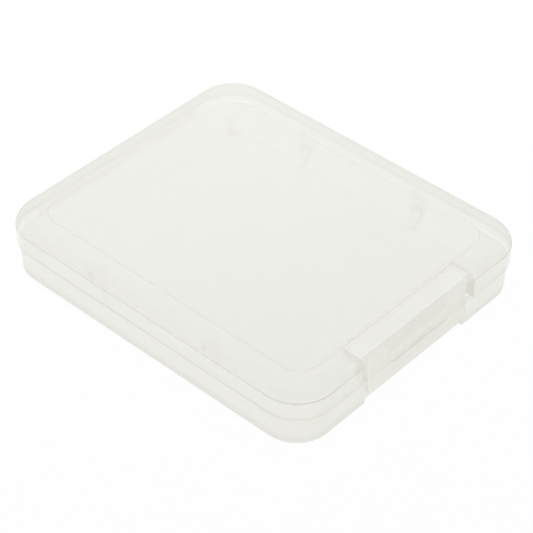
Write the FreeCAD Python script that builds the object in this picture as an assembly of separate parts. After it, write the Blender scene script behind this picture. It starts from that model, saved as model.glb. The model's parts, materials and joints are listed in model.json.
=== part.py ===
import FreeCAD, Part
import math
import os

# Hinged plastic case for one memory card, closed, in millimetres.
# +Z is up, the latch is at -Y, the hinge at +Y and the long sides run along Y.
# The origin is the centre of the tray's underside.

# The card and the room around it
CARD_LENGTH = 42.8
CARD_WIDTH = 36.4
CARD_SIDE_GAP = 0.6
CARD_END_GAP = 0.4

# Side ribs and corner stops that hold the card
RIB_DEPTH = 1.5
RIB_WIDTH = 2.0
RIB_PITCH = 19.6
RIB_TOP_GAP = 0.35
STOP_THICKNESS = 1.0
STOP_BACK_SPACE = 1.65
STOP_REACH = 2.6
STOP_BELOW_RIM = 0.2

# Walls and heights
WALL = 1.2
FLOOR = 1.0
LID_TOP = 1.0
SEAM_HEIGHT = 4.5
SEAM_GAP = 0.08
SKIRT_HEIGHT = 2.65
SHOULDER_HEIGHT = 0.8
PANEL_RISE = 0.5
CORNER_RADIUS = 5.4
RIM_STEP = 0.35
TRAY_DRAFT = 0.12
TRAY_FOOT_FILLET = 0.5
TRAY_INNER_FILLET = 0.8
CREASE_STEP = 0.12
SHOULDER_FILLET = 0.8
PANEL_MARGIN_SIDE = 3.9
PANEL_MARGIN_END = 3.5
PANEL_CORNER = 3.0

# Latch flap: a level platform in the lid's gap and a slanting tongue in the tray's notch
PLATFORM_WIDTH = 20.9
PLATFORM_DROP = 0.4
PLATFORM_THICKNESS = 0.85
FLAP_SLIT = 0.15
FLAP_WALL = 0.8
FLAP_SLANT = 5.0
FLAP_FOOT_PROUD = 0.05
FLAP_OVERLAP = 2.15
FLAP_EDGE_RADIUS = 0.85
FLAP_INNER_RADIUS = 0.35
TONGUE_SIDE_GAP = 0.15
TONGUE_FILLET = 0.35
CREASE_WIDTH = 0.5
CREASE_DEPTH = 0.5
CREASE_GROOVE_RADIUS = 0.2

# Thumb bar and the scoop above it
BAR_LENGTH = 10.6
BAR_HEIGHT = 1.4
BAR_PROUD = 0.45
BAR_RISE = 0.65
BAR_FILLET = 0.3
SCOOP_HEIGHT = 1.2
SCOOP_DEPTH = 0.3

# Notch in the tray's front wall and the snap behind the tongue
NOTCH_WIDTH = 19.2
NOTCH_DEPTH = 0.8
NOTCH_WALL = 1.0
SNAP_LENGTH = 12.0
BEAD_RADIUS = 0.15
SNAP_CLEARANCE = 0.1
RIDGE_DROP = 0.6

# Living hinge at the back
HINGE_END_MARGIN = 1.6
HINGE_WEB = 0.35
HINGE_BEND_RADIUS = 0.35
HINGE_LEG = 0.3
HINGE_LAND_HEIGHT = 1.3

# Plan sizes, from the card outwards
TRAY_INNER_X = CARD_WIDTH / 2 + CARD_SIDE_GAP + RIB_DEPTH
TRAY_INNER_Y = CARD_LENGTH / 2 + CARD_END_GAP + STOP_THICKNESS + STOP_BACK_SPACE
TRAY_X = TRAY_INNER_X + WALL
TRAY_Y = TRAY_INNER_Y + WALL
LID_X = TRAY_X + RIM_STEP
LID_Y = TRAY_Y + RIM_STEP

# Heights, from the floor upwards
SKIRT_BOTTOM = SEAM_HEIGHT + SEAM_GAP
CREASE_LINE = SEAM_HEIGHT + SKIRT_HEIGHT
SHOULDER = CREASE_LINE + SHOULDER_HEIGHT
PANEL = SHOULDER + PANEL_RISE
LID_UNDERSIDE = PANEL - LID_TOP
INNER_SHOULDER = SHOULDER - LID_TOP

# Places of the latch and the hinge
CREASE_Y = -(LID_Y - PANEL_MARGIN_END)
CREASE_Z = PANEL - CREASE_DEPTH
PLATFORM_TOP = PANEL - PLATFORM_DROP
PLATFORM_UNDER = PLATFORM_TOP - PLATFORM_THICKNESS
WINDOW_X = PLATFORM_WIDTH / 2 + FLAP_SLIT
NOTCH_Y = -(TRAY_Y - NOTCH_DEPTH)
TONGUE_X = NOTCH_WIDTH / 2 - TONGUE_SIDE_GAP
FLAP_BOTTOM = SEAM_HEIGHT - FLAP_OVERLAP
FLAP_FOOT_Y = -(LID_Y + FLAP_FOOT_PROUD)
FLAP_SLOPE = math.tan(math.radians(FLAP_SLANT))
FLAP_WALL_LEVEL = FLAP_WALL / math.cos(math.radians(FLAP_SLANT))
BAR_Z = SEAM_HEIGHT + BAR_RISE
RIDGE_Z = SEAM_HEIGHT - RIDGE_DROP
BEAD_Z = RIDGE_Z - 2 * BEAD_RADIUS - SNAP_CLEARANCE
HINGE_LENGTH = 2 * (LID_X - CORNER_RADIUS - HINGE_END_MARGIN)
HINGE_AXIS_Y = LID_Y + HINGE_LEG
HINGE_AXIS_Z = SEAM_HEIGHT + SEAM_GAP / 2

# Length by which cutting bodies run past what they cut
PAST = 5.0


def vec(x, y, z):
    return FreeCAD.Vector(x, y, z)


def block(x_low, x_high, y_low, y_high, z_low, z_high):
    return Part.makeBox(x_high - x_low, y_high - y_low, z_high - z_low, vec(x_low, y_low, z_low))


def rounded_outline(half_x, half_y, radius, z):
    """Closed level outline: four straight sides joined by four quarter arcs."""
    diagonal = radius * 0.5 ** 0.5
    edges = []
    centre_x = half_x - radius
    centre_y = half_y - radius
    for sign_x, sign_y in ((1, 1), (-1, 1), (-1, -1), (1, -1)):
        on_side = vec(sign_x * half_x, sign_y * centre_y, z)
        on_end = vec(sign_x * centre_x, sign_y * half_y, z)
        middle = vec(sign_x * (centre_x + diagonal), sign_y * (centre_y + diagonal), z)
        first, last = (on_side, on_end) if sign_x == sign_y else (on_end, on_side)
        if edges:
            edges.append(Part.LineSegment(edges[-1].EndPoint, first))
        edges.append(Part.Arc(first, middle, last))
    edges.append(Part.LineSegment(edges[-1].EndPoint, edges[0].StartPoint))
    return Part.Wire([edge.toShape() for edge in edges])


def slab(half_x, half_y, radius, z_low, z_high):
    """Upright prism on a rounded outline."""
    face = Part.Face(rounded_outline(half_x, half_y, radius, z_low))
    return face.extrude(vec(0, 0, z_high - z_low))


def tapered(lower, upper):
    """Solid between two rounded outlines."""
    return Part.makeLoft([rounded_outline(*lower), rounded_outline(*upper)], True, True)


def along_x(edges, length):
    """Prism of a closed profile in the YZ plane, centred on X."""
    face = Part.Face(Part.Wire([edge.toShape() for edge in edges]))
    face.translate(vec(-length / 2, 0, 0))
    return face.extrude(vec(length, 0, 0))


def rod_along_x(radius, length, y, z):
    return Part.makeCylinder(radius, length, vec(-length / 2, y, z), vec(1, 0, 0))


def level_edges(shape, z):
    """Edges of a shape that lie wholly at one height."""
    return [edge for edge in shape.Edges
            if abs(edge.BoundBox.ZMin - z) < 1e-6 and abs(edge.BoundBox.ZMax - z) < 1e-6]


def side_rib():
    """Upright rib with a round nose, growing from the tray's +X wall at y = 0."""
    nose = RIB_WIDTH / 2
    top = INNER_SHOULDER - RIB_TOP_GAP
    nose_x = TRAY_INNER_X - RIB_DEPTH + nose
    body = block(nose_x, TRAY_INNER_X, -nose, nose, FLOOR / 2, top)
    foot = block(nose_x, TRAY_INNER_X + WALL / 2, -nose, nose, FLOOR / 2, SEAM_HEIGHT - WALL / 2)
    tip = Part.makeCylinder(nose, top - FLOOR / 2, vec(nose_x, 0, FLOOR / 2))
    tip = tip.common(block(nose_x - nose, nose_x, -nose, nose, FLOOR / 2, top))
    return body.fuse([foot, tip])


def corner_stop():
    """Low upright plate that stops the card's +Y end, growing from the +X wall."""
    face_y = CARD_LENGTH / 2 + CARD_END_GAP
    tip_x = TRAY_INNER_X - STOP_REACH
    return block(tip_x, TRAY_INNER_X + WALL / 2, face_y, face_y + STOP_THICKNESS,
                 FLOOR / 2, SEAM_HEIGHT - STOP_BELOW_RIM)


def four_ways(shape):
    """A shape with its mirror images in X, in Y and in both."""
    across = shape.mirror(vec(0, 0, 0), vec(1, 0, 0))
    both = [shape, across]
    return both + [copy.mirror(vec(0, 0, 0), vec(0, 1, 0)) for copy in both]


def base_tray():
    foot_inset = TRAY_DRAFT
    outer = tapered((TRAY_X - foot_inset, TRAY_Y - foot_inset, CORNER_RADIUS - RIM_STEP - foot_inset, 0),
                    (TRAY_X, TRAY_Y, CORNER_RADIUS - RIM_STEP, SEAM_HEIGHT))
    outer = outer.makeFillet(TRAY_FOOT_FILLET, level_edges(outer, 0))
    inside = slab(TRAY_INNER_X, TRAY_INNER_Y, CORNER_RADIUS - RIM_STEP - WALL, FLOOR, SEAM_HEIGHT + PAST)
    inside = inside.makeFillet(TRAY_INNER_FILLET, level_edges(inside, FLOOR))
    notch = block(-NOTCH_WIDTH / 2, NOTCH_WIDTH / 2, NOTCH_Y - PAST, NOTCH_Y, -PAST, SEAM_HEIGHT + PAST)
    rib = side_rib()
    ribs = []
    for place in (-RIB_PITCH / 2, RIB_PITCH / 2):
        one = rib.copy()
        one.translate(vec(0, place, 0))
        ribs += [one, one.mirror(vec(0, 0, 0), vec(1, 0, 0))]
    behind_x = NOTCH_WIDTH / 2 + WALL
    behind = block(-behind_x, behind_x, -TRAY_INNER_Y - WALL / 2, NOTCH_Y + NOTCH_WALL, FLOOR / 2, SEAM_HEIGHT)
    inner_parts = ribs + four_ways(corner_stop()) + [behind]
    ridge = rod_along_x(ridge_radius(), SNAP_LENGTH, NOTCH_Y, RIDGE_Z)
    return outer.cut(inside).fuse(inner_parts).cut(notch).fuse([ridge, hinge_land()]).removeSplitter()


def ridge_radius():
    """Height of the catch ridge, so that the tongue's bead passes it."""
    return NOTCH_Y - inner_y(BEAD_Z) - BEAD_RADIUS - SNAP_CLEARANCE


def hinge_land():
    """Bar along the tray's back rim, brought out level with the lid's skirt."""
    out_y = LID_Y
    back_y = TRAY_Y - WALL / 2
    low = SEAM_HEIGHT - HINGE_LAND_HEIGHT
    corners = [vec(0, back_y, SEAM_HEIGHT), vec(0, out_y, SEAM_HEIGHT),
               vec(0, out_y, low), vec(0, back_y, low - (out_y - back_y))]
    edges = [Part.LineSegment(corners[i - 1], corners[i]) for i in range(4)]
    return along_x(edges, HINGE_LENGTH)


def lid_cover():
    skirt = slab(LID_X, LID_Y, CORNER_RADIUS, SKIRT_BOTTOM, CREASE_LINE)
    crown_x = LID_X - CREASE_STEP
    crown_y = LID_Y - CREASE_STEP
    crown_radius = CORNER_RADIUS - CREASE_STEP
    panel_x = LID_X - PANEL_MARGIN_SIDE
    panel_y = LID_Y - PANEL_MARGIN_END
    crown = slab(crown_x, crown_y, crown_radius, CREASE_LINE, SHOULDER)
    border = tapered((crown_x, crown_y, crown_radius, SHOULDER), (panel_x, panel_y, PANEL_CORNER, PANEL))
    top = crown.fuse(border)
    top = top.makeFillet(SHOULDER_FILLET, level_edges(top, SHOULDER))
    wall_radius = CORNER_RADIUS - WALL
    inside = slab(LID_X - WALL, LID_Y - WALL, wall_radius, SKIRT_BOTTOM - PAST, INNER_SHOULDER)
    vault = tapered((LID_X - WALL, LID_Y - WALL, wall_radius, INNER_SHOULDER),
                    (panel_x, panel_y, PANEL_CORNER, LID_UNDERSIDE))
    window = block(-WINDOW_X, WINDOW_X, -LID_Y - PAST, CREASE_Y + CREASE_WIDTH / 2, 0, PANEL + PAST)
    return skirt.fuse(top).cut(inside.fuse(vault)).cut(window).removeSplitter()


def front_y(z):
    """Where the tongue's slanting front face is at a height."""
    return FLAP_FOOT_Y + (z - FLAP_BOTTOM) * FLAP_SLOPE


def inner_y(z):
    """Where the tongue's inner face is at a height."""
    return front_y(z) + FLAP_WALL_LEVEL


def latch_flap():
    back_y = CREASE_Y - CREASE_WIDTH / 2
    corners = [vec(0, back_y, PLATFORM_TOP),
               vec(0, front_y(PLATFORM_TOP), PLATFORM_TOP),
               vec(0, front_y(FLAP_BOTTOM), FLAP_BOTTOM),
               vec(0, inner_y(FLAP_BOTTOM), FLAP_BOTTOM),
               vec(0, inner_y(PLATFORM_UNDER), PLATFORM_UNDER),
               vec(0, back_y, PLATFORM_UNDER)]
    edges = [Part.LineSegment(corners[i - 1], corners[i]) for i in range(len(corners))]
    plate = along_x(edges, PLATFORM_WIDTH)
    plate = plate.makeFillet(FLAP_EDGE_RADIUS, edges_along_x(plate, corners[1]))
    plate = plate.makeFillet(FLAP_INNER_RADIUS, edges_along_x(plate, corners[4]))
    beside = block(TONGUE_X, LID_X, FLAP_FOOT_Y - PAST, CREASE_Y, FLAP_BOTTOM - PAST, PLATFORM_UNDER)
    plate = plate.cut([beside, beside.mirror(vec(0, 0, 0), vec(1, 0, 0))])
    plate = plate.makeFillet(TONGUE_FILLET, [edge for edge in plate.Edges if is_tongue_corner(edge)])
    bead = rod_along_x(BEAD_RADIUS, SNAP_LENGTH, inner_y(BEAD_Z), BEAD_Z)
    return plate.cut(on_front(thumb_scoop())).fuse([on_front(thumb_bar()), bead]).removeSplitter()


def edges_along_x(shape, point):
    """Edges that run along X through a point of the profile."""
    return [edge for edge in shape.Edges
            if edge.BoundBox.XLength > 1 and abs(edge.BoundBox.YMin - point.y) < 1e-6
            and abs(edge.BoundBox.ZMin - point.z) < 1e-6]


def is_tongue_corner(edge):
    """True for the two edges where the tongue's front meets its sides."""
    box = edge.BoundBox
    return box.XLength < 1e-6 and box.ZLength > 1 and abs(box.YMin - FLAP_FOOT_Y) < 1e-6


def on_front(shape):
    """A shape made against an upright face at the origin, moved on to the slanting front."""
    shape.rotate(vec(0, 0, 0), vec(1, 0, 0), -FLAP_SLANT)
    shape.translate(vec(0, front_y(BAR_Z), BAR_Z))
    return shape


def thumb_bar():
    bar = block(-BAR_LENGTH / 2, BAR_LENGTH / 2, -BAR_PROUD, FLAP_WALL / 2, -BAR_HEIGHT / 2, BAR_HEIGHT / 2)
    outer = [edge for edge in bar.Edges if edge.BoundBox.YMin < 1e-6 - BAR_PROUD]
    return bar.makeFillet(BAR_FILLET, outer)


def thumb_scoop():
    """Round hollow along the top of the bar, where a nail catches."""
    radius = (SCOOP_HEIGHT ** 2 / 4 + SCOOP_DEPTH ** 2) / (2 * SCOOP_DEPTH)
    return rod_along_x(radius, BAR_LENGTH, SCOOP_DEPTH - radius, BAR_HEIGHT / 2 + SCOOP_HEIGHT / 2)


def latch_hinge_web():
    """Thin strip left under the groove along the flap's crease."""
    strip = block(-PLATFORM_WIDTH / 2, PLATFORM_WIDTH / 2, CREASE_Y - CREASE_WIDTH / 2,
                  CREASE_Y + CREASE_WIDTH / 2, LID_UNDERSIDE, CREASE_Z)
    return strip.cut(rod_along_x(CREASE_GROOVE_RADIUS, PLATFORM_WIDTH + PAST, CREASE_Y, CREASE_Z))


def rear_hinge_web():
    """Thin band folded in a U from the tray's land to the lid's skirt."""
    inner = HINGE_BEND_RADIUS
    outer = HINGE_BEND_RADIUS + HINGE_WEB
    y = HINGE_AXIS_Y
    z = HINGE_AXIS_Z
    wall_y = LID_Y
    edges = [Part.LineSegment(vec(0, wall_y, z + inner), vec(0, wall_y, z + outer)),
             Part.LineSegment(vec(0, wall_y, z + outer), vec(0, y, z + outer)),
             Part.Arc(vec(0, y, z + outer), vec(0, y + outer, z), vec(0, y, z - outer)),
             Part.LineSegment(vec(0, y, z - outer), vec(0, wall_y, z - outer)),
             Part.LineSegment(vec(0, wall_y, z - outer), vec(0, wall_y, z - inner)),
             Part.LineSegment(vec(0, wall_y, z - inner), vec(0, y, z - inner)),
             Part.Arc(vec(0, y, z - inner), vec(0, y + inner, z), vec(0, y, z + inner)),
             Part.LineSegment(vec(0, y, z + inner), vec(0, wall_y, z + inner))]
    return along_x(edges, HINGE_LENGTH)


PIECES = {
    "base_tray": base_tray,
    "lid_cover": lid_cover,
    "latch_flap": latch_flap,
    "latch_hinge_web": latch_hinge_web,
    "rear_hinge_web": rear_hinge_web,
}

os.makedirs("parts", exist_ok=True)
for name, make in PIECES.items():
    shape = make()
    solid = shape.Solids[0]
    print(name, "solids", len(shape.Solids), "valid", shape.isValid(), "volume", round(shape.Volume, 2),
          "box", [round(v, 3) for v in (solid.BoundBox.XMin, solid.BoundBox.XMax, solid.BoundBox.YMin,
                                        solid.BoundBox.YMax, solid.BoundBox.ZMin, solid.BoundBox.ZMax)])
    solid.exportStep("parts/" + name + ".step")
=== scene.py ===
# %% [markdown]
# # A clear memory card case
#
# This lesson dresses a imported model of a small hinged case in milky, see-through plastic.
# The solids already have their real size and place, so the work here is their finish, the two
# thin webs that bend when the case opens, the light and the camera.

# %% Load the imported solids
import json
import math
import bpy
from mathutils import Matrix, Vector


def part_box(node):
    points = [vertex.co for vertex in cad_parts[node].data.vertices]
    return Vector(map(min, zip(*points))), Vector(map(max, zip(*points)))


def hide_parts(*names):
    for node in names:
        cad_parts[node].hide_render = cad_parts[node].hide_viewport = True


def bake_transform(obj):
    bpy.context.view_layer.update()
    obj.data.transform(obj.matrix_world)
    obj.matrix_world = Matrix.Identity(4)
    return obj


MM = 0.001
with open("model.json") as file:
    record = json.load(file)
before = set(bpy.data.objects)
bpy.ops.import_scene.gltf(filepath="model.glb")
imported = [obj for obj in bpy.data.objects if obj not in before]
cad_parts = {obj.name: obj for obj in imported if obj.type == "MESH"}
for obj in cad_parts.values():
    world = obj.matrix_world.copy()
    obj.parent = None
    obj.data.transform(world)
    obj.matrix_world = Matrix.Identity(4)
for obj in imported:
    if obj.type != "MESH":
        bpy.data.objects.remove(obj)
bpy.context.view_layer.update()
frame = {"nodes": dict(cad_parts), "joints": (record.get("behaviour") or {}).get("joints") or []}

# %% [markdown]
# ## Camera
#
# The photograph looks down on the latch corner from about 41 degrees. The lens is long, so
# parallel edges draw together only a little. A camera could be aimed by hand at an empty, but
# here its turn, its height angle, its roll and its distance are known numbers, and together they
# give its three axes.

# %% Camera
CAMERA_TURN = math.radians(-47.8624)
CAMERA_HEIGHT = math.radians(41.0522)
CAMERA_ROLL = math.radians(0.4455)
CAMERA_DISTANCE = 255.3555 * MM
CAMERA_RIGHT = 0.5485 * MM
CAMERA_UP = 0.7318 * MM
CAMERA_LENS = 132.494
SENSOR = 36.0
NEAREST_SEEN = 10 * MM


def camera_axes(turn, height, roll):
    """Right, up and back of a camera, as unit vectors."""
    outwards = math.cos(height)
    back = Vector((math.sin(turn) * outwards, -math.cos(turn) * outwards, math.sin(height)))
    level = Vector((math.cos(turn), math.sin(turn), 0.0))
    upright = back.cross(level)
    right = level * math.cos(roll) + upright * math.sin(roll)
    up = upright * math.cos(roll) - level * math.sin(roll)
    return right, up, back


right, up, back = camera_axes(CAMERA_TURN, CAMERA_HEIGHT, CAMERA_ROLL)
camera_place = back * CAMERA_DISTANCE + right * CAMERA_RIGHT + up * CAMERA_UP
camera_turn = Matrix((right, up, back)).transposed().to_4x4()
camera_data = bpy.data.cameras.new("camera")
camera_data.sensor_width = SENSOR
camera_data.sensor_height = SENSOR
camera_data.lens = CAMERA_LENS
camera_data.clip_start = NEAREST_SEEN
camera = bpy.data.objects.new("camera", camera_data)
camera.matrix_world = Matrix.Translation(camera_place) @ camera_turn
bpy.context.scene.collection.objects.link(camera)
bpy.context.scene.camera = camera
print("camera at", [round(v, 4) for v in camera_place])

# %% [markdown]
# ## Shader maths as plain sums
#
# A node tree is easier to read when its sums look like sums. This small class wraps an output
# socket, so that + and * on it add the Math nodes, and one method adds any other node. The Mix
# node has a set of sockets for each kind of data, so its colour sockets are known by number.

# %% Shader helper
MIX_FIRST = 6
MIX_SECOND = 7
MIX_RESULT = 2


class Value:
    """An output socket of a node tree that can be used in sums."""

    def __init__(self, tree, socket):
        self.tree = tree
        self.socket = socket

    def join(self, operation, other, swapped=False):
        first, second = (other, self) if swapped else (self, other)
        return Nodes(self.tree).add("ShaderNodeMath", {"operation": operation}, {0: first, 1: second})

    def __add__(self, other):
        return self.join("ADD", other)

    def __mul__(self, other):
        return self.join("MULTIPLY", other)

    def __sub__(self, other):
        return self.join("SUBTRACT", other)

    def __rsub__(self, other):
        return self.join("SUBTRACT", other, swapped=True)

    __radd__ = __add__
    __rmul__ = __mul__


class Nodes:
    """Adds nodes to one tree."""

    def __init__(self, tree):
        self.tree = tree

    def add(self, kind, settings, sockets, out=0):
        """A node with its settings, and the values or links of its sockets."""
        node = self.tree.nodes.new(kind)
        for name, value in settings.items():
            setattr(node, name, value)
        for key, value in sockets.items():
            if isinstance(value, Value):
                self.tree.links.new(value.socket, node.inputs[key])
            else:
                node.inputs[key].default_value = value
        return Value(self.tree, node.outputs[out])

    def mix(self, share, first, second):
        """A colour between two colours."""
        sockets = {"Factor": share, MIX_FIRST: first, MIX_SECOND: second}
        return self.add("ShaderNodeMix", {"data_type": "RGBA"}, sockets, out=MIX_RESULT)


def new_material(name):
    """An empty material and the helper that adds nodes to it."""
    material = bpy.data.materials.new(name)
    material.use_nodes = True
    material.node_tree.nodes.clear()
    return material, Nodes(material.node_tree)


print("shader helper ready")

# %% [markdown]
# ## Masks over a moulding
#
# The real plastic is clear but cloudy. It could be made as a glass filled with a scattering
# volume, but that is slow and grainy, and an exported model loses it. Here each surface is a
# pale, glossy skin that lets part of the light through. The outer skin holds most of the cloud,
# and the faces around the card's room hold little, so that the ribs show behind the lid. Edges
# catch the light in such plastic and draw thin darker lines, which are painted here as shade
# in the colour.
#
# Painted textures could say where all that is, but a moulding is regular, so its masks are sums
# of a point's place in millimetres, of how level the face is, and of which side of it is seen: a
# wall that is looked at from within shows other lines than from outside.

# %% Masks
LINE_CORE = 0.4
FADE = 0.05
ACROSS_MIDDLE = (-1.0, 1.0)
WALL_SKIN = (-0.9, -0.6)
UPRIGHT = (0.6, 0.3)
LEVEL = (0.6, 0.8)
CLEAR_LAYERS = 32
bpy.context.scene.cycles.transparent_max_bounces = CLEAR_LAYERS


class Places:
    """Object coordinates in millimetres, and masks made from them."""

    def __init__(self, nodes):
        self.nodes = nodes
        self.point = nodes.add("ShaderNodeTexCoord", {}, {}, out="Object")
        in_mm = {0: self.point, "Scale": 1 / MM}
        place = nodes.add("ShaderNodeVectorMath", {"operation": "SCALE"}, in_mm)
        self.x = self.part(place, "X")
        self.y = self.part(place, "Y")
        self.z = self.part(place, "Z")
        self.side = self.size(self.x)
        self.end = self.size(self.y)
        normal = nodes.add("ShaderNodeTexCoord", {}, {}, out="Normal")
        self.flatness = self.size(self.part(normal, "Z"))
        self.upright = self.step(self.flatness, *UPRIGHT)
        self.level = self.step(self.flatness, *LEVEL)
        self.from_within = nodes.add("ShaderNodeNewGeometry", {}, {}, out="Backfacing")
        self.from_outside = 1.0 - self.from_within

    def part(self, vector, axis):
        return self.nodes.add("ShaderNodeSeparateXYZ", {}, {0: vector}, out=axis)

    def size(self, value):
        return self.nodes.add("ShaderNodeMath", {"operation": "ABSOLUTE"}, {0: value})

    def most(self, first, *others):
        for other in others:
            first = self.nodes.add("ShaderNodeMath", {"operation": "MAXIMUM"}, {0: first, 1: other})
        return first

    def root(self, value):
        return self.nodes.add("ShaderNodeMath", {"operation": "SQRT"}, {0: value})

    def step(self, value, low, high):
        """0 at low and 1 at high, smooth between; low may be the larger."""
        return self.nodes.add("ShaderNodeMapRange", {"interpolation_type": "SMOOTHSTEP"},
                              {"Value": value, "From Min": low, "From Max": high})

    def line(self, value, at, half):
        """1 where a value is near a given one, 0 from half a line's width away."""
        return self.step(self.size(value - at), half, half * LINE_CORE)

    def between(self, share, first, second):
        """A number that is first where share is 0 and second where it is 1."""
        return first + share * (second - first)

    def from_outline(self, half_x, half_y, radius):
        """Distance outwards from a rounded outline."""
        past_x = self.most(self.side - (half_x - radius), 0.0)
        past_y = self.most(self.end - (half_y - radius), 0.0)
        squared = past_x * past_x + past_y * past_y
        return self.root(squared) - radius

    def outer_skin(self, outline):
        """1 on the outside of a wall that follows an outline."""
        return self.step(self.from_outline(*outline), *WALL_SKIN)

    def room(self, outline):
        """1 within the outline of a wall's inside."""
        return self.step(self.from_outline(*outline), 2 * FADE, FADE)


print("masks ready, fading over", FADE, "mm")

# %% [markdown]
# ## The plastic's colour
#
# One function makes all four finishes, because the whole case is one moulding. A second function
# for each piece says where its painted shade lines, its painted highlights and its thin skin are.
# The colour darkens slowly towards the latch as painted shade, and a slow noise varies it as the
# melt's flow does. A fine noise gives the faint orange peel of a moulded surface, and one that is
# drawn out in a slanting direction roughens the gloss as rubbing in a pocket does.
#
# Light that has already been scattered, and light from the lamps, passes the skin more freely
# than sight does, because cloudy plastic glows inside where a plain see-through sheet would
# leave it dark.

# %% Colours and clouds
PALE = (0.828, 0.820, 0.768)
DEEP = (0.785, 0.777, 0.724)
# The next two are the colours of painted highlights and of painted shade lines.
GLINT = (0.93, 0.925, 0.90)
SHADE_LINE_COLOUR = (0.42, 0.41, 0.36)
LINE_CLOUD = 0.9
WALL_CLOUD = 0.48
INNER_CLOUD = 0.09
SCATTER_SHARE = 0.8
PLASTIC_IOR = 1.49
print("plastic", PALE, "to", DEEP)

# %% Fine grain of the plastic
FLOW_SCALE = 90.0
FLOW_DETAIL = 3.0
FLOW_SHARE = 0.4
# Painted shade: the colour darkens along a slanting line towards the latch corner.
SHADE_SLANT = 1.0
SHADE_REACH = 46.0
SHADE_SHARE = 0.6
PEEL_SCALE = 2600.0
PEEL_DETAIL = 1.0
PEEL_DEPTH = 0.004 * MM
PEEL_STRENGTH = 0.5
RUB_TURN = (0.0, 0.0, math.radians(35))
RUB_STRETCH = (1.0, 0.04, 1.0)
RUB_SCALE = 5000.0
RUB_DETAIL = 2.0
RUB_LEVELS = (0.58, 0.70)
RUB_ROUGHNESS = 0.015


def noise(nodes, point, scale, detail):
    sockets = {"Vector": point, "Scale": scale, "Detail": detail}
    return nodes.add("ShaderNodeTexNoise", {}, sockets)


def rub_marks(nodes, places):
    """1 on the short slanting marks that rubbing leaves in the gloss."""
    sockets = {"Vector": places.point, "Rotation": RUB_TURN, "Scale": RUB_STRETCH}
    drawn_out = nodes.add("ShaderNodeMapping", {}, sockets)
    return places.step(noise(nodes, drawn_out, RUB_SCALE, RUB_DETAIL), *RUB_LEVELS)


def moulded_colour(nodes, places, flow, lines, glints):
    """The plastic's colour, with painted shade towards the latch, painted highlights and painted shade
    lines.
    """
    shade_towards_latch = places.step(places.y + places.x * SHADE_SLANT, SHADE_REACH, -SHADE_REACH)
    depth = flow * FLOW_SHARE + shade_towards_latch * SHADE_SHARE
    body = nodes.mix(depth, (*PALE, 1.0), (*DEEP, 1.0))
    lit = nodes.mix(glints, body, (*GLINT, 1.0))
    return nodes.mix(lines, lit, (*SHADE_LINE_COLOUR, 1.0))


print("grain scales", FLOW_SCALE, PEEL_SCALE, RUB_SCALE)

# %% Clear plastic


def clear_plastic(name, masks, smooth, rough):
    """Cloudy clear plastic; masks gives its painted shade lines, its painted highlights and its cloud.
    """
    material, nodes = new_material(name)
    places = Places(nodes)
    lines, glints, cloud = masks(places)
    flow = noise(nodes, places.point, FLOW_SCALE, FLOW_DETAIL)
    peel = noise(nodes, places.point, PEEL_SCALE, PEEL_DETAIL)
    relief = {"Height": peel, "Distance": PEEL_DEPTH, "Strength": PEEL_STRENGTH}
    gloss = smooth + flow * (rough - smooth) + rub_marks(nodes, places) * RUB_ROUGHNESS
    closed = cloud + lines * (LINE_CLOUD - cloud)
    scattered = nodes.add("ShaderNodeLightPath", {}, {}, out="Is Diffuse Ray")
    shading = nodes.add("ShaderNodeLightPath", {}, {}, out="Is Shadow Ray")
    shader = nodes.add("ShaderNodeBsdfPrincipled", {}, {
        "Base Color": moulded_colour(nodes, places, flow, lines, glints),
        "Roughness": gloss,
        "Alpha": closed * (1.0 - SCATTER_SHARE * (scattered + shading)),
        "Normal": nodes.add("ShaderNodeBump", {}, relief),
        "IOR": PLASTIC_IOR})
    output = material.node_tree.nodes.new("ShaderNodeOutputMaterial")
    material.node_tree.links.new(shader.socket, output.inputs["Surface"])
    return material


print("one recipe for all finishes")

# %% [markdown]
# ## Where the lid shows lines
#
# Painted shade draws the lid's lines. The rim is painted a little darker than the panel, where
# the thick wall is seen edge on. A painted shade line runs round the sharp crease under the rim,
# darkest at the latch corners, and another draws the foot of the skirt along the seam. The edge
# of the raised panel hardly shows. On the far walls, seen from within, painted shade draws soft
# stripes at the rim and the seam. Near the latch the painted lines are a little stronger. In
# these functions p holds the places of one piece, all in millimetres.

# %% Lid edges
LID_OUTLINE = (21.85, 26.0, 5.4)
PANEL_OUTLINE = (17.95, 22.5, 3.0)
PANEL_Z = 8.45
CREASE_Z = 7.15
SKIRT_FOOT_Z = 4.58
RIM_WIDTH = 2.1
RIM_FADE = 0.3
RIM_LINE = 0.05
CREASE_HALF = 0.10
CREASE_LINE = 0.25
FOOT_HALF = 0.20
FOOT_LINE = 0.46
FOOT_LESS_WITHIN = 0.36
PANEL_HALF = 0.15
PANEL_LINE = 0.18
# Painted shade: the lines are stronger near the latch and at the latch corners.
NEAR_LATCH_SPAN = (-10.0, -26.0)
NEAR_LATCH_SHADE = 0.05
CORNER_SIDE = (14.0, 18.0)
CORNER_FRONT = (-19.0, -23.0)
CORNER_SHADE = 0.2


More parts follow.
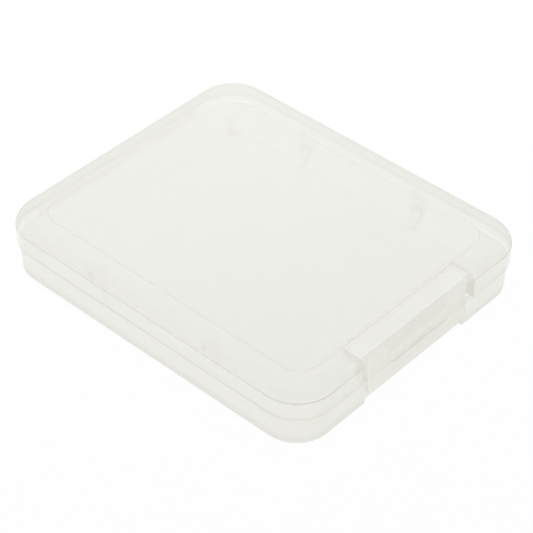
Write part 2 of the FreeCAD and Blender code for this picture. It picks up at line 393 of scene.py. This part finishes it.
def lid_edges(p, outer, inside):
    """Painted shade lines of the rim, the crease, the skirt's foot and the raised panel."""
    near_latch_shade = p.step(p.y, *NEAR_LATCH_SPAN) * NEAR_LATCH_SHADE
    corner = p.step(p.side, *CORNER_SIDE) * p.step(p.y, *CORNER_FRONT) * CORNER_SHADE
    over_wall = p.step(p.from_outline(*LID_OUTLINE), -RIM_WIDTH - RIM_FADE, -RIM_WIDTH + RIM_FADE)
    rim = over_wall * (1.0 - inside) * p.step(p.z, CREASE_Z, CREASE_Z + 2 * FADE) * RIM_LINE
    crease = p.line(p.z, CREASE_Z, CREASE_HALF) * outer * (CREASE_LINE + near_latch_shade + corner)
    foot_weight = FOOT_LINE - p.from_within * FOOT_LESS_WITHIN
    foot = p.line(p.z, SKIRT_FOOT_Z, FOOT_HALF) * outer * p.upright * foot_weight
    on_top = p.step(p.z, PANEL_Z - 5 * FADE, PANEL_Z - 3 * FADE)
    panel_edge = p.line(p.from_outline(*PANEL_OUTLINE), 0.0, PANEL_HALF) * on_top
    return p.most(rim, crease, foot, panel_edge * (PANEL_LINE + near_latch_shade))


print("lid lines at", CREASE_Z, "and", SKIRT_FOOT_Z)

# %% Lid's far wall, latch window and near corner
STRIPE_Z = 5.77
STRIPE_HALF = 0.45
STRIPE_LINE = 0.45
UPPER_WALL = (5.5, 5.8)
UPPER_LINE = 0.24
WINDOW_SIDE = 10.6
WINDOW_BACK = 22.25
WINDOW_HALF = 0.12
WINDOW_LINE = 0.22
WINDOW_MORE_BELOW = 0.23


def far_shade_stripes(p, outer):
    """Painted shade stripes of the rim and the seam on a wall that is seen from within."""
    stripe = p.line(p.z, STRIPE_Z, STRIPE_HALF) * STRIPE_LINE
    upper = p.step(p.z, *UPPER_WALL) * UPPER_LINE
    return p.from_within * outer * p.most(stripe, upper)


def window_sides(p):
    """Painted shade lines at the lid's cut edges on both sides of the latch."""
    front = p.step(p.y, -WINDOW_BACK + 2 * FADE, -WINDOW_BACK - 2 * FADE)
    below_crease = p.step(p.z, CREASE_Z + 4 * FADE, CREASE_Z)
    weight = WINDOW_LINE + below_crease * WINDOW_MORE_BELOW
    return p.line(p.side, WINDOW_SIDE, WINDOW_HALF) * front * weight


def near_corner_shade(p, outer):
    """1 round the outside of the latch corner that is nearest in the photograph."""
    # Painted shade darkens this corner of the lid and the tray.
    left = p.step(p.x, -CORNER_SIDE[0], -CORNER_SIDE[1])
    return left * p.step(p.y, *CORNER_FRONT) * outer * p.from_outside


print("latch window", 2 * WINDOW_SIDE, "mm wide")

# %% [markdown]
# ## The lid's cloud
#
# The skirt is the cloudiest, and its far side, seen from within, is clearer. The faces that lie
# against another piece, under the skirt and behind the latch's strip, are inside the plastic of
# the real moulding, so they are as clear as the faces of the card's room.

# %% Lid finish
LID_ROOM = (20.65, 24.8, 4.2)
LID_UNDERSIDE_Z = 7.45
WEB_TOP_Z = 7.95
JOIN_HALF = 0.02
JOIN_FADE = 0.03
SKIRT_CLOUD = 0.58
SKIRT_GLINT = 0.12
FAR_CLOUD = 0.33
LID_CORNER_SHADE = 0.07


def lid_cloud(p, skirt_band, inside):
    """How much the lid's skin hides."""
    against_web = p.line(p.y, -WINDOW_BACK, JOIN_HALF) * p.step(p.side, WINDOW_SIDE, WINDOW_SIDE - FADE)
    web_join = against_web * p.step(p.z, WEB_TOP_Z + JOIN_HALF, WEB_TOP_Z)
    sole = p.level * p.step(p.z, SKIRT_FOOT_Z + FADE, SKIRT_FOOT_Z + JOIN_FADE)
    near = p.between(skirt_band * p.from_outside, WALL_CLOUD, SKIRT_CLOUD)
    outer_cloud = p.between(skirt_band * p.from_within, near, FAR_CLOUD)
    return p.between(p.most(inside, web_join, sole), outer_cloud, INNER_CLOUD)


def lid_masks(p):
    """Painted shade lines, painted highlights and cloud of the lid."""
    outer = p.outer_skin(LID_OUTLINE)
    under_top = p.step(p.z, LID_UNDERSIDE_Z + 2 * FADE, LID_UNDERSIDE_Z + FADE)
    inside = p.room(LID_ROOM) * under_top
    skirt_band = outer * p.step(p.z, CREASE_Z + FADE, CREASE_Z - FADE)
    corner = near_corner_shade(p, outer) * LID_CORNER_SHADE
    lines = p.most(lid_edges(p, outer, inside), far_shade_stripes(p, outer), window_sides(p), corner)
    # Painted highlight: the skirt is lighter where it is seen from outside.
    glints = skirt_band * p.from_outside * SKIRT_GLINT
    return lines, glints, lid_cloud(p, skirt_band, inside)


lid_plastic = clear_plastic("lid_plastic", lid_masks, smooth=0.14, rough=0.26)
print("lid cloud", WALL_CLOUD, "and", SKIRT_CLOUD, "on the skirt")

# %% [markdown]
# ## Ribs and stops in the tray
#
# Four ribs hold the card off the long walls, and four corner stops hold its ends. They are clear,
# and only their edges show through the lid, drawn as painted shade lines. On a rib that faces the
# eye this is a slender oval on its nose, with a painted dark spot of shade at its foot. On a rib
# that is seen from behind, through the wall, it is a short stroke at its top. A stop shows its
# tip, its foot and its top, most of all in the far corner, where the lid hides it least.

# %% Rib lines
FLOOR_Z = 1.0
RIB_X = 19.8
RIB_Y = 9.8
RIB_RADIUS = 1.0
RIB_TOP_Z = 6.6
RIB_SKIN = (0.16, 0.10)
RIB_LINE = 0.06
OVAL_Z = 3.1
OVAL_WIDTH = 0.75
OVAL_HEIGHT = 2.1
OVAL_LEAN = 0.2
OVAL_HALF = 0.26
OVAL_LINE = 0.48
STROKE_Z = (RIB_TOP_Z - 1.5, RIB_TOP_Z - 1.1)
STROKE_HALF = 0.20
STROKE_LEFT = 0.66
STROKE_RIGHT = 0.42
SPOT_Z = (FLOOR_Z + 0.7, FLOOR_Z + 0.2)
SPOT_WIDTH = (0.6, 0.3)
SPOT_LINE = 0.42
TIP_Z = (RIB_TOP_Z - 0.5, RIB_TOP_Z - 0.3)
TIP_AT = 0.7
TIP_HALF = 0.30
TIP_LINE = 0.45


def rib_oval(p):
    """A leaning painted shade oval on the nose of each rib."""
    rib_y = p.between(p.step(p.y, *ACROSS_MIDDLE), -RIB_Y, RIB_Y)
    rise = p.z - OVAL_Z
    across = (p.y - rib_y + rise * OVAL_LEAN) * (1 / OVAL_WIDTH)
    along = rise * (1 / OVAL_HEIGHT)
    ring = p.line(p.root(across * across + along * along), 1.0, OVAL_HALF)
    return ring * p.from_outside * OVAL_LINE


def rib_lines(p):
    """Painted shade: the oval and the foot of each rib, and the strokes of its top seen from behind."""
    past_x = p.most(RIB_X - p.side, 0.0)
    past_y = p.size(p.end - RIB_Y)
    nose = p.root(past_x * past_x + past_y * past_y) - RIB_RADIUS
    beyond = p.step(p.side, RIB_X - RIB_RADIUS - 4 * FADE, RIB_X - RIB_RADIUS - 2 * FADE)
    by_wall = p.step(p.side, RIB_X - FADE, RIB_X + FADE)
    weight = p.between(p.step(p.x, *ACROSS_MIDDLE), STROKE_LEFT, STROKE_RIGHT)
    upper = p.step(p.z, *STROKE_Z) * p.from_within * by_wall * weight
    stroke = p.line(past_y, RIB_RADIUS, STROKE_HALF) * upper
    spot = p.step(p.z, *SPOT_Z) * p.step(past_y, *SPOT_WIDTH) * SPOT_LINE
    tip = p.line(past_y, TIP_AT, TIP_HALF) * p.step(p.z, *TIP_Z) * p.from_within * TIP_LINE
    on_rib = p.step(p.size(nose), *RIB_SKIN) * beyond
    return on_rib * p.most(stroke, rib_oval(p), spot, tip, RIB_LINE)


print("ribs at", RIB_X, RIB_Y)

# %% Stop lines
STOP_SIDE = 17.7
STOP_BACK = 21.8
STOP_FRONT = 22.8
STOP_TOP_Z = 4.3
STOP_TIP_HALF = 0.16
STOP_TIP_LINE = 0.32
STOP_FOOT_Z = (FLOOR_Z + 0.5, FLOOR_Z + 0.15)
STOP_FOOT_LINE = 0.56
STOP_TOP_LINE = 0.15
STOP_HIDDEN = 0.35
FAR_CORNER = (-5.0, 5.0)


def stop_lines(p):
    """Painted shade lines at the tip, the foot and the top of each corner stop."""
    beyond = p.step(p.side, STOP_SIDE - 2 * FADE, STOP_SIDE - FADE)
    past_back = p.step(p.end, STOP_BACK - FADE, STOP_BACK - JOIN_HALF)
    before_front = p.step(p.end, STOP_FRONT + FADE, STOP_FRONT + JOIN_HALF)
    tip = p.line(p.side, STOP_SIDE, STOP_TIP_HALF) * STOP_TIP_LINE
    foot = p.step(p.z, *STOP_FOOT_Z) * STOP_FOOT_LINE
    top = p.step(p.z, STOP_TOP_Z - 4 * FADE, STOP_TOP_Z - FADE) * STOP_TOP_LINE
    far_corner = p.step(p.y, *FAR_CORNER) * p.step(p.x, *FAR_CORNER)
    shown = p.between(far_corner, STOP_HIDDEN, 1.0)
    return beyond * past_back * before_front * p.most(tip, foot, top) * shown


print("stops at", STOP_SIDE, STOP_BACK)

# %% [markdown]
# ## The tray's finish
#
# Painted shade darkens the foot of the outer wall, where the thick floor is seen edge on, and a
# painted shadow darkens the upper edge of the wall, under the lid's skirt. A faint painted shade
# line runs round the floor where it turns up into the walls. The land that the lid sits on is
# hidden in the joint, so it is clear.

# %% Tray finish
TRAY_OUTLINE = (21.5, 25.65, 5.05)
TRAY_ROOM = (20.3, 24.45, 3.85)
FLOOR_OUTLINE = (19.1, 23.2, 2.6)
SEAM_Z = 4.5
TRAY_CLOUD = 0.60
TRAY_RIM_DROP = 0.10
TRAY_RIM_HALF = 0.25
TRAY_RIM_SHADOW = 0.32
TRAY_FOOT_Z = (FLOOR_Z + 0.8, FLOOR_Z)
TRAY_FOOT_SHADE = 0.26
FLOOR_EDGE_HALF = 0.16
FLOOR_EDGE_SHADE = 0.42
TRAY_CORNER_SHADE = 0.09


def tray_masks(p):
    """Painted shade lines and cloud of the tray, which has no painted highlights."""
    outer = p.outer_skin(TRAY_OUTLINE)
    inside = p.room(TRAY_ROOM) * p.step(p.z, FLOOR_Z - 2 * FADE, FLOOR_Z - FADE)
    # Painted shadow under the lid's skirt, and painted shade at the wall's foot and the floor's edge.
    rim = p.line(p.z, SEAM_Z - TRAY_RIM_DROP, TRAY_RIM_HALF) * outer * p.upright * TRAY_RIM_SHADOW
    foot = p.step(p.z, *TRAY_FOOT_Z) * outer * p.from_outside * TRAY_FOOT_SHADE
    on_floor = p.line(p.z, FLOOR_Z, 2 * FADE)
    floor_turn = p.line(p.from_outline(*FLOOR_OUTLINE), 0.0, FLOOR_EDGE_HALF)
    floor_edge = floor_turn * on_floor * FLOOR_EDGE_SHADE
    within = inside * p.most(rib_lines(p), stop_lines(p))
    corner = near_corner_shade(p, outer) * TRAY_CORNER_SHADE
    land = p.level * p.step(p.z, SEAM_Z - FADE, SEAM_Z - JOIN_FADE)
    outer_cloud = p.between(outer * p.from_within, TRAY_CLOUD, WALL_CLOUD)
    cloud = p.between(p.most(inside, land), outer_cloud, INNER_CLOUD)
    return p.most(rim, foot, floor_edge, within, corner), 0.0, cloud


tray_plastic = clear_plastic("tray_plastic", tray_masks, smooth=0.18, rough=0.30)
print("tray cloud", TRAY_CLOUD)

# %% [markdown]
# ## Where the latch shows lines
#
# The flap's platform is thin, and a painted highlight makes it pale. Between its front edge and
# the thumb bar a finger scoop is painted darker as shade, the bar's upper edge has a painted
# highlight, and a painted shade line lies under the bar.

# %% Latch lines
PLATFORM_SIDE = 10.45
PLATFORM_Z = 8.05
PLATFORM_GLINT = 0.42
PLATFORM_CLOUD = 0.65
TONGUE_SIDE = 9.45
TONGUE_Z = (7.2, 7.1)
SIDE_HALF = 0.08
SIDE_LINE = 0.2
BAR_SIDE = 5.3
BAR_FOOT_Z = 4.45
BAR_TOP_Z = 5.85
BAR_HALF = 0.8
BAR_LINE = 0.07
BAR_EDGE_HALF = 0.25
BAR_EDGE_GLINT = 0.4
UNDER_BAR_HALF = 0.16
UNDER_BAR_SHADE = 0.6
UNDERSIDE = (0.3, 0.6)


def bar_masks(p):
    """Painted shade on the thumb bar's underside and face, and a painted highlight on its upper edge.
    """
    on_bar = p.step(p.side, BAR_SIDE + 2 * FADE, BAR_SIDE)
    below = p.line(p.z, BAR_FOOT_Z, UNDER_BAR_HALF)
    shade_under_bar = p.step(p.flatness, *UNDERSIDE) * below * on_bar * UNDER_BAR_SHADE
    bar = p.line(p.z, (BAR_FOOT_Z + BAR_TOP_Z) / 2, BAR_HALF) * on_bar * BAR_LINE
    edge = p.line(p.z, BAR_TOP_Z - 2 * FADE, BAR_EDGE_HALF) * on_bar * BAR_EDGE_GLINT
    return p.most(shade_under_bar, bar), edge


print("thumb bar from", BAR_FOOT_Z, "to", BAR_TOP_Z)

# %% Latch finish
SCOOP_SIDE = 5.9
SCOOP_SHADE = 0.10
WEB_FRONT = 22.75


def scoop_shade(p):
    """Painted shade in the hollow above the thumb bar."""
    across = p.step(p.side, SCOOP_SIDE + 4 * FADE, SCOOP_SIDE)
    above_bar = p.step(p.z, BAR_TOP_Z, BAR_TOP_Z + 3 * FADE)
    below_platform = p.step(p.z, PLATFORM_Z - 3 * FADE, PLATFORM_Z - 7 * FADE)
    return across * above_bar * below_platform * SCOOP_SHADE


def latch_masks(p):
    """Painted shade lines, painted highlights and cloud of the flap."""
    sides = p.line(p.side, PLATFORM_SIDE, SIDE_HALF) * SIDE_LINE
    tongue_sides = p.line(p.side, TONGUE_SIDE, SIDE_HALF) * p.step(p.z, *TONGUE_Z) * SIDE_LINE
    bar_lines, bar_edge = bar_masks(p)
    platform = p.step(p.z, PLATFORM_Z - 3 * FADE, PLATFORM_Z - FADE)
    below_bar = p.step(p.z, BAR_FOOT_Z - 2 * FADE, BAR_FOOT_Z - 6 * FADE)
    bright = p.between(p.most(platform, below_bar), WALL_CLOUD, PLATFORM_CLOUD)
    cloud = p.between(p.line(p.y, -WEB_FRONT, JOIN_HALF), bright, INNER_CLOUD)
    lines = p.most(sides, tongue_sides, bar_lines, scoop_shade(p))
    # Painted highlights on the bar's upper edge and on the platform.
    return lines, p.most(bar_edge, platform * PLATFORM_GLINT), cloud


latch_plastic = clear_plastic("latch_plastic", latch_masks, smooth=0.16, rough=0.28)
print("platform cloud", PLATFORM_CLOUD)

# %% [markdown]
# ## The thin webs
#
# Polypropylene turns white where it has been bent, so the latch's strip is the cloudiest piece,
# and its groove is paler still, from that whitening and from a painted highlight that lifts the
# shade in the groove. The band at the back is thin, so it hides little. Then the three
# mouldings take their finishes, each in place of the plain one that it was packed with.

# %% Web finish and the three mouldings
WEB_CLOUD = 0.80
BAND_CLOUD = 0.32
GROOVE_WHITENING_AND_HIGHLIGHT = 0.35
JOIN_TOP = 0.01


def web_masks(p):
    """Whitening and a painted highlight in the groove, and cloud of the two webs, which have no painted
    shade lines.
    """
    groove = p.step(p.z, WEB_TOP_Z - JOIN_TOP, WEB_TOP_Z - FADE)
    at_rear = p.step(p.y, *ACROSS_MIDDLE)
    return 0.0, groove * GROOVE_WHITENING_AND_HIGHLIGHT, p.between(at_rear, WEB_CLOUD, BAND_CLOUD)


web_plastic = clear_plastic("web_plastic", web_masks, smooth=0.25, rough=0.40)
FINISH = {"base_tray": tray_plastic, "lid_cover": lid_plastic, "latch_flap": latch_plastic}
for node, material in FINISH.items():
    mesh = frame["nodes"][node].data
    mesh.materials.clear()
    mesh.materials.append(material)
print("finished", sorted(FINISH))

# %% [markdown]
# ## The folded band at the back
#
# The lid hangs on a thin band of the same plastic, folded in a U while the case is shut. A rigid
# piece would tear away when the lid opens, so the band is modelled here: a strip is drawn as a
# flat end face, drawn out along its lower leg, spun round the fold and drawn back along its
# upper leg.

# %% Places of the fold
BAND_THICKNESS = 0.35 * MM
JOIN_GAP = 0.01 * MM
SMOOTH_BELOW = math.radians(40)
pivots = {joint["name"]: Vector(joint["pos_m"]) for joint in frame["joints"]}
fold = pivots["lid_open"]
band_low, band_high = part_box("rear_hinge_web")
band_middle = Vector(((band_low.x + band_high.x) / 2, band_low.y + JOIN_GAP, band_low.z))
band_end = band_middle + Vector((0, 0, BAND_THICKNESS / 2))
leg = fold.y - band_middle.y


def start_piece(name):
    """Names the new primitive and applies its place and size to its mesh."""
    piece = bpy.context.object
    piece.name = name
    bpy.ops.object.transform_apply(location=True, rotation=True, scale=True)
    return piece


print("fold at", [round(v / MM, 3) for v in fold], "leg", round(leg / MM, 3))

# %% Rear hinge band
FOLD_STEPS = 24
BAND_ROUND = 0.06 * MM
SAME_POINT = 1e-7
SHARP_OVER = math.radians(60)
bpy.ops.object.select_all(action="DESELECT")
bpy.ops.mesh.primitive_plane_add(size=1, rotation=(math.pi / 2, 0, 0), location=band_end)
bpy.context.object.scale = (band_high.x - band_low.x, BAND_THICKNESS, 1)
band = start_piece("rear_hinge_band")
bpy.ops.object.mode_set(mode="EDIT")
bpy.ops.mesh.select_all(action="SELECT")
bpy.ops.mesh.extrude_region_move(TRANSFORM_OT_translate={"value": (0, leg, 0)})
bpy.ops.mesh.spin(steps=FOLD_STEPS, angle=-math.pi, center=fold, axis=(1, 0, 0))
bpy.ops.mesh.extrude_region_move(TRANSFORM_OT_translate={"value": (0, -leg, 0)})
bpy.ops.mesh.select_all(action="SELECT")
bpy.ops.mesh.remove_doubles(threshold=SAME_POINT)
bpy.ops.mesh.normals_make_consistent(inside=False)
bpy.ops.mesh.select_all(action="DESELECT")
bpy.ops.mesh.edges_select_sharp(sharpness=SHARP_OVER)
bpy.ops.mesh.bevel(offset=BAND_ROUND, segments=2, affect="EDGES", clamp_overlap=True)
bpy.ops.object.mode_set(mode="OBJECT")
bpy.ops.object.shade_smooth_by_angle(angle=SMOOTH_BELOW)
print("band", len(band.data.polygons), "faces", [round(v / MM, 3) for v in band.dimensions])

# %% The band takes its finish in place of the packed web
band.data.materials.append(web_plastic)
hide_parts("rear_hinge_web")
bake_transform(band)
print("band bends over", round(2 * BAND_THICKNESS / MM, 2), "mm")

# %% [markdown]
# ## The latch's crease
#
# The flap bends on a thin strip with a round groove along its top. The groove is cut by a rod,
# and a few cuts across the strip give it places to bend.

# %% Latch crease strip
GROOVE_RADIUS = 0.2 * MM
ROD_SIDES = 48
ROD_LONGER = 1.2
strip_low, strip_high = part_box("latch_hinge_web")
strip_size = strip_high - strip_low - Vector((0, 2 * JOIN_GAP, 0))
bpy.ops.object.select_all(action="DESELECT")
bpy.ops.mesh.primitive_cylinder_add(vertices=ROD_SIDES, radius=GROOVE_RADIUS,
                                    depth=strip_size.x * ROD_LONGER,
                                    location=pivots["latch_flex"], rotation=(0, math.pi / 2, 0))
rod = start_piece("groove_rod")
bpy.ops.object.select_all(action="DESELECT")
bpy.ops.mesh.primitive_cube_add(size=1, location=(strip_low + strip_high) / 2)
bpy.context.object.scale = strip_size
strip = start_piece("latch_crease_strip")
groove = strip.modifiers.new("groove", "BOOLEAN")
groove.operation = "DIFFERENCE"
groove.object = rod
bpy.ops.object.modifier_apply(modifier=groove.name)
bpy.data.objects.remove(rod)
print("groove radius", round(GROOVE_RADIUS / MM, 2), "mm")

# %% The strip is cut across and takes its finish in place of the packed web
STRIP_CUTS = 6
bpy.ops.object.mode_set(mode="EDIT")
for cut in range(1, STRIP_CUTS):
    bpy.ops.mesh.select_all(action="SELECT")
    place = (0, strip_low.y + strip_size.y * cut / STRIP_CUTS, strip_low.z)
    bpy.ops.mesh.bisect(plane_co=place, plane_no=(0, 1, 0))
bpy.ops.object.mode_set(mode="OBJECT")
bpy.ops.object.shade_smooth_by_angle(angle=SMOOTH_BELOW)
strip.data.materials.append(web_plastic)
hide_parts("latch_hinge_web")
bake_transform(strip)
print("strip", len(strip.data.polygons), "faces", [round(v / MM, 3) for v in strip.dimensions])

# %% [markdown]
# ## Floor and background
#
# The photograph has a white ground with hardly a shadow. The floor could be lit until it is
# white, but that would bleach the case too. So the floor is pale, and it shows itself to the
# camera mostly as plain white, with a little of its shaded self left in, so that a faint shadow
# holds the case down.

# %% Floor
FLOOR_SIZE = 4.0
FLOOR_DROP = 0.1 * MM
FLOOR_COLOUR = (0.92, 0.92, 0.92, 1.0)
WHITE = (1.0, 1.0, 1.0, 1.0)
SHADOW_SHARE = 0.10


def seen_directly(nodes):
    """1 where the camera sees a surface straight, in a reflection or through clear plastic."""
    names = ("Is Camera Ray", "Is Glossy Ray", "Is Transmission Ray")
    kinds = [nodes.add("ShaderNodeLightPath", {}, {}, out=name) for name in names]
    total = kinds[0] + kinds[1] + kinds[2]
    return nodes.add("ShaderNodeMath", {"operation": "MINIMUM"}, {0: total, 1: 1.0})


bpy.ops.object.select_all(action="DESELECT")
bpy.ops.mesh.primitive_plane_add(size=FLOOR_SIZE, location=(0, 0, -FLOOR_DROP))
floor = bpy.context.object
floor.name = "floor"
bpy.ops.object.transform_apply(location=True, rotation=False, scale=False)
floor_paint, nodes = new_material("floor_paint")
diffuse = nodes.add("ShaderNodeBsdfDiffuse", {}, {"Color": FLOOR_COLOUR})
white = nodes.add("ShaderNodeEmission", {}, {"Color": WHITE, "Strength": 1.0})
share = seen_directly(nodes) * (1.0 - SHADOW_SHARE)
mixed = nodes.add("ShaderNodeMixShader", {}, {0: share, 1: diffuse, 2: white})
output = floor_paint.node_tree.nodes.new("ShaderNodeOutputMaterial")
floor_paint.node_tree.links.new(mixed.socket, output.inputs["Surface"])
floor.data.materials.append(floor_paint)
print("floor", FLOOR_SIZE, "m wide")

# %% World
AMBIENT = 0.808
world = bpy.data.worlds.new("studio")
bpy.context.scene.world = world
world.use_nodes = True
world.node_tree.nodes.clear()
nodes = Nodes(world.node_tree)
strength = AMBIENT + seen_directly(nodes) * (1.0 - AMBIENT)
sky = nodes.add("ShaderNodeBackground", {}, {"Color": WHITE, "Strength": strength})
output = world.node_tree.nodes.new("ShaderNodeOutputWorld")
world.node_tree.links.new(sky.socket, output.inputs["Surface"])
bpy.context.scene.view_settings.view_transform = "Standard"
print("world light", AMBIENT)

# %% [markdown]
# ## Lamps
#
# Most of the light comes from all round. A small lamp behind the case brightens the far side of
# the lid, and a large, low one in front brightens the walls. Cloudy plastic passes the light on
# inside itself, so hard shadows between its own walls would look wrong, and the lamps throw none.
# Their mirror images are hidden too, because the photograph shows no bright squares in the gloss.

# %% Soft lamps
KEY = {"place": (0.10, 0.13, 0.20), "size": 0.10, "power": 0.154}
FILL = {"place": (-0.70, -0.56, 0.18), "size": 0.60, "power": 1.9}


def soft_lamp(name, place, size, power):
    """A square lamp that faces the case."""
    data = bpy.data.lights.new(name, "AREA")
    data.size = size
    data.energy = power
    data.use_shadow = False
    lamp = bpy.data.objects.new(name, data)
    lamp.location = place
    lamp.rotation_euler = (-Vector(place)).to_track_quat("-Z", "Y").to_euler()
    lamp.visible_glossy = False
    bpy.context.scene.collection.objects.link(lamp)
    return lamp


lamps = [soft_lamp("key", **KEY), soft_lamp("fill", **FILL)]
print("lamps", [lamp.name for lamp in lamps])
